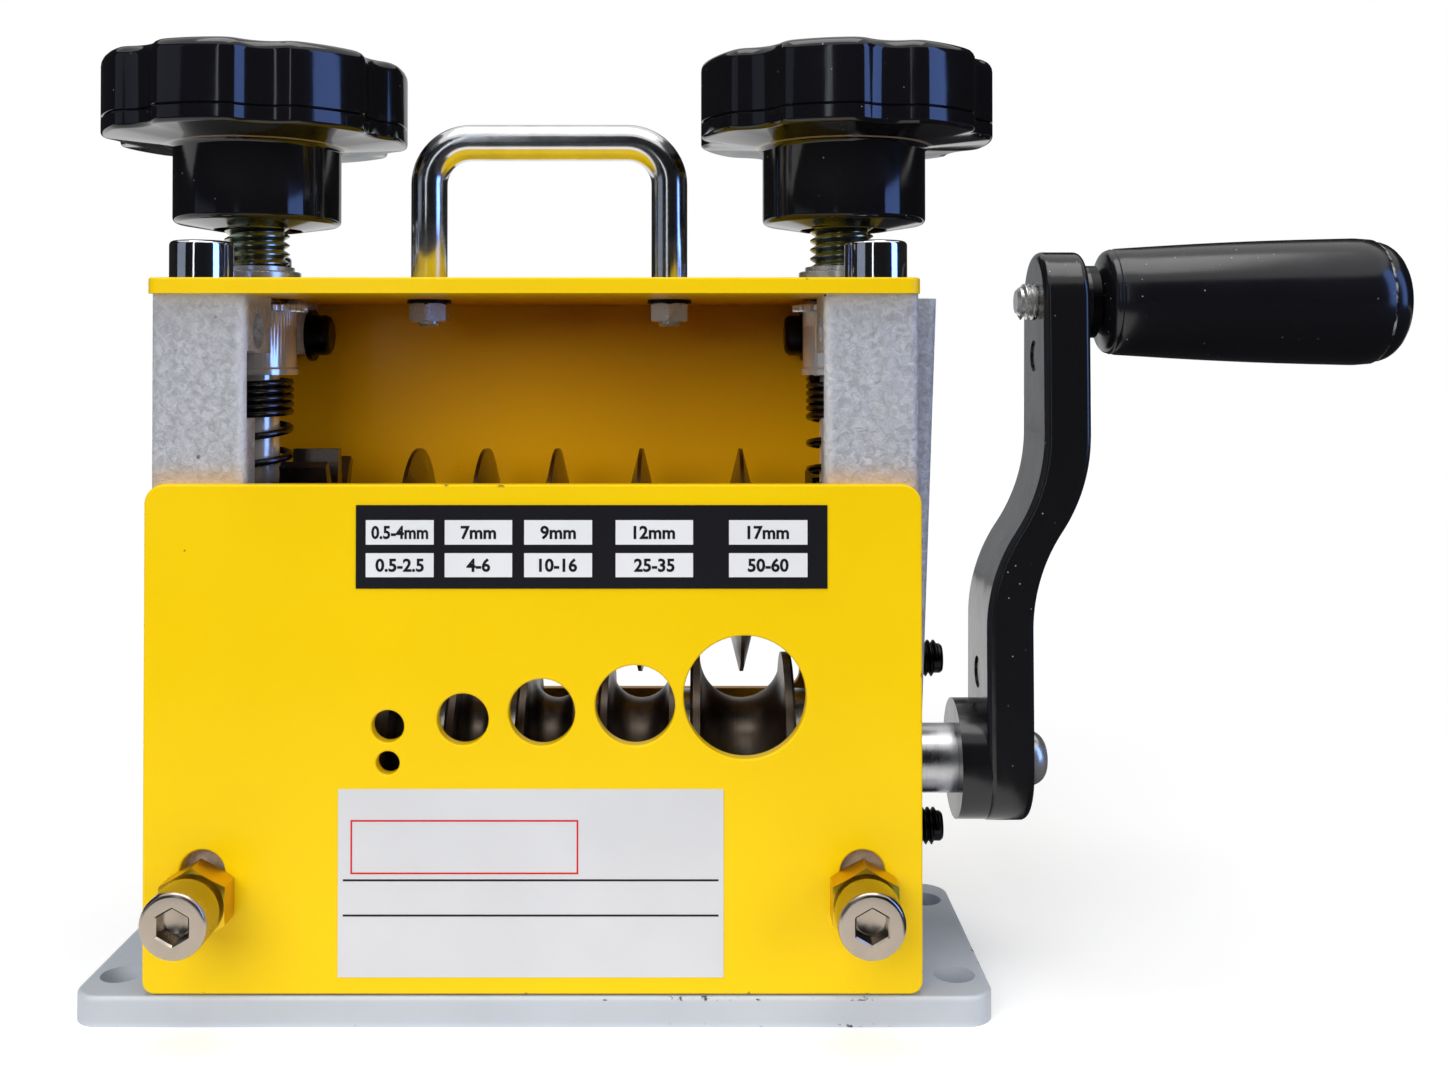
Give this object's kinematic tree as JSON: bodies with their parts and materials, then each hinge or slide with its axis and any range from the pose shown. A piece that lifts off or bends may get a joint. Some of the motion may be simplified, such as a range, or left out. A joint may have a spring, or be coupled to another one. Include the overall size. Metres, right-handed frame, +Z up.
{
  "type": "hand crank wire stripper",
  "caption": "Bench wire stripper with a side crank, grooved feed rollers, disc blades on a spring-pressed carriage and two lobed knobs",
  "frame": {"origin": "centre of the base plate's flat underside", "axes": "+X along the shafts towards the crank, -Y the side the wire enters, +Z up"},
  "size_m": [0.2855, 0.0838, 0.1984],
  "materials": {
    "base_paint": "satin pale grey-blue paint, chipped at the edges",
    "casting": "rough sand-cast aluminium",
    "yellow_paint": "gloss yellow powder coat",
    "zinc_steel": "bright zinc plate",
    "yellow_zinc": "yellow zinc plate",
    "black_oxide": "black oxide",
    "chrome": "bright chrome plate",
    "spring_steel": "oiled spring steel",
    "ground_steel": "ground steel",
    "tool_steel": "dark hardened tool steel",
    "block_iron": "milled grey iron",
    "bronze": "sintered bronze",
    "knob_plastic": "moulded phenolic, high gloss",
    "grip_plastic": "moulded plastic, gloss",
    "crank_paint": "gloss black paint on a casting",
    "chart_black": "printed film",
    "label_white": "printed film"
  },
  "bodies": {
    "root": {"base_plate": "base_paint", "left_column": "casting", "right_column": "casting", "front_plate": "yellow_paint", "rear_plate": "yellow_paint", "top_cover": "yellow_paint", "front_hex_nuts": "yellow_paint", "top_cap_screws": "zinc_steel", "front_screws": "zinc_steel", "handle_nuts": "zinc_steel", "screw_bushings": "zinc_steel", "bearing_lock_screws": "black_oxide", "side_screws": "black_oxide", "side_screw_washers": "black_oxide", "handle_washers": "black_oxide", "column_base_screws": "black_oxide", "rear_plate_screws": "black_oxide", "carry_handle": "chrome", "lower_bearings": "bronze", "size_chart": "chart_black", "blank_label": "label_white"},
    "drive": {"drive_shaft": "ground_steel", "roller_spacers": "ground_steel", "lower_gear": "tool_steel", "crank_arm": "crank_paint", "crank_spacer": "zinc_steel", "crank_screw": "zinc_steel", "grip_bolt": "zinc_steel", "grip_washer": "zinc_steel", "feed_roller_1": "tool_steel", "feed_roller_2": "tool_steel", "feed_roller_3": "tool_steel", "feed_roller_4": "tool_steel", "feed_roller_5": "tool_steel"},
    "handgrip": {"grip": "grip_plastic", "grip_end_cap": "grip_plastic"},
    "carriage": {"return_springs": "spring_steel", "left_bearing_block": "block_iron", "right_bearing_block": "block_iron", "left_guide_rod": "zinc_steel", "right_guide_rod": "zinc_steel", "upper_bearings": "bronze"},
    "blades": {"blade_shaft": "ground_steel", "blade_spacers": "ground_steel", "upper_gear": "tool_steel", "blade_1": "tool_steel", "blade_2": "tool_steel", "blade_3": "tool_steel", "blade_4": "tool_steel", "blade_5": "tool_steel"},
    "left_press": {"left_sleeve": "zinc_steel", "left_lock_ring": "zinc_steel", "left_spring": "spring_steel"},
    "right_press": {"right_sleeve": "zinc_steel", "right_lock_ring": "zinc_steel", "right_spring": "spring_steel"},
    "left_turner": {"left_knob": "knob_plastic", "left_pressure_screw": "yellow_zinc"},
    "right_turner": {"right_knob": "knob_plastic", "right_pressure_screw": "yellow_zinc"}
  },
  "joints": [
    {"name": "crank_spin", "type": "hinge", "parent": "root", "child": "drive", "pos_m": [0, 0, 0.045], "axis": [1, 0, 0], "continuous": true},
    {"name": "grip_spin", "type": "hinge", "parent": "drive", "child": "handgrip", "pos_m": [0.15, 0, 0.146], "axis": [1, 0, 0], "continuous": true},
    {"name": "blade_lift", "type": "slide", "parent": "root", "child": "carriage", "axis": [0, 0, 1], "range_m": [-0.003, 0.001], "stiffness_N_per_m": 28000, "springref_m": 0.0004, "deforming": ["return_springs"]},
    {"name": "blade_spin", "type": "hinge", "parent": "carriage", "child": "blades", "pos_m": [0, 0, 0.089], "axis": [1, 0, 0], "continuous": true},
    {"name": "left_screw_feed", "type": "slide", "parent": "root", "child": "left_press", "axis": [0, 0, 1], "range_m": [-0.00401, 0.00051], "deforming": ["left_spring"]},
    {"name": "left_knob_turn", "type": "hinge", "parent": "left_press", "child": "left_turner", "pos_m": [-0.065, 0, 0.18], "axis": [0, 0, 1], "range_deg": [-720, 90]},
    {"name": "right_screw_feed", "type": "slide", "parent": "root", "child": "right_press", "axis": [0, 0, 1], "range_m": [-0.00401, 0.00051], "deforming": ["right_spring"]},
    {"name": "right_knob_turn", "type": "hinge", "parent": "right_press", "child": "right_turner", "pos_m": [0.065, 0, 0.18], "axis": [0, 0, 1], "range_deg": [-720, 90]}
  ],
  "couplings": [
    {"joint": "blade_spin", "follows": "crank_spin", "ratio": -1},
    {"joint": "left_screw_feed", "follows": "left_knob_turn", "m_per_rad": 0.00031831},
    {"joint": "right_screw_feed", "follows": "right_knob_turn", "m_per_rad": 0.00031831}
  ]
}
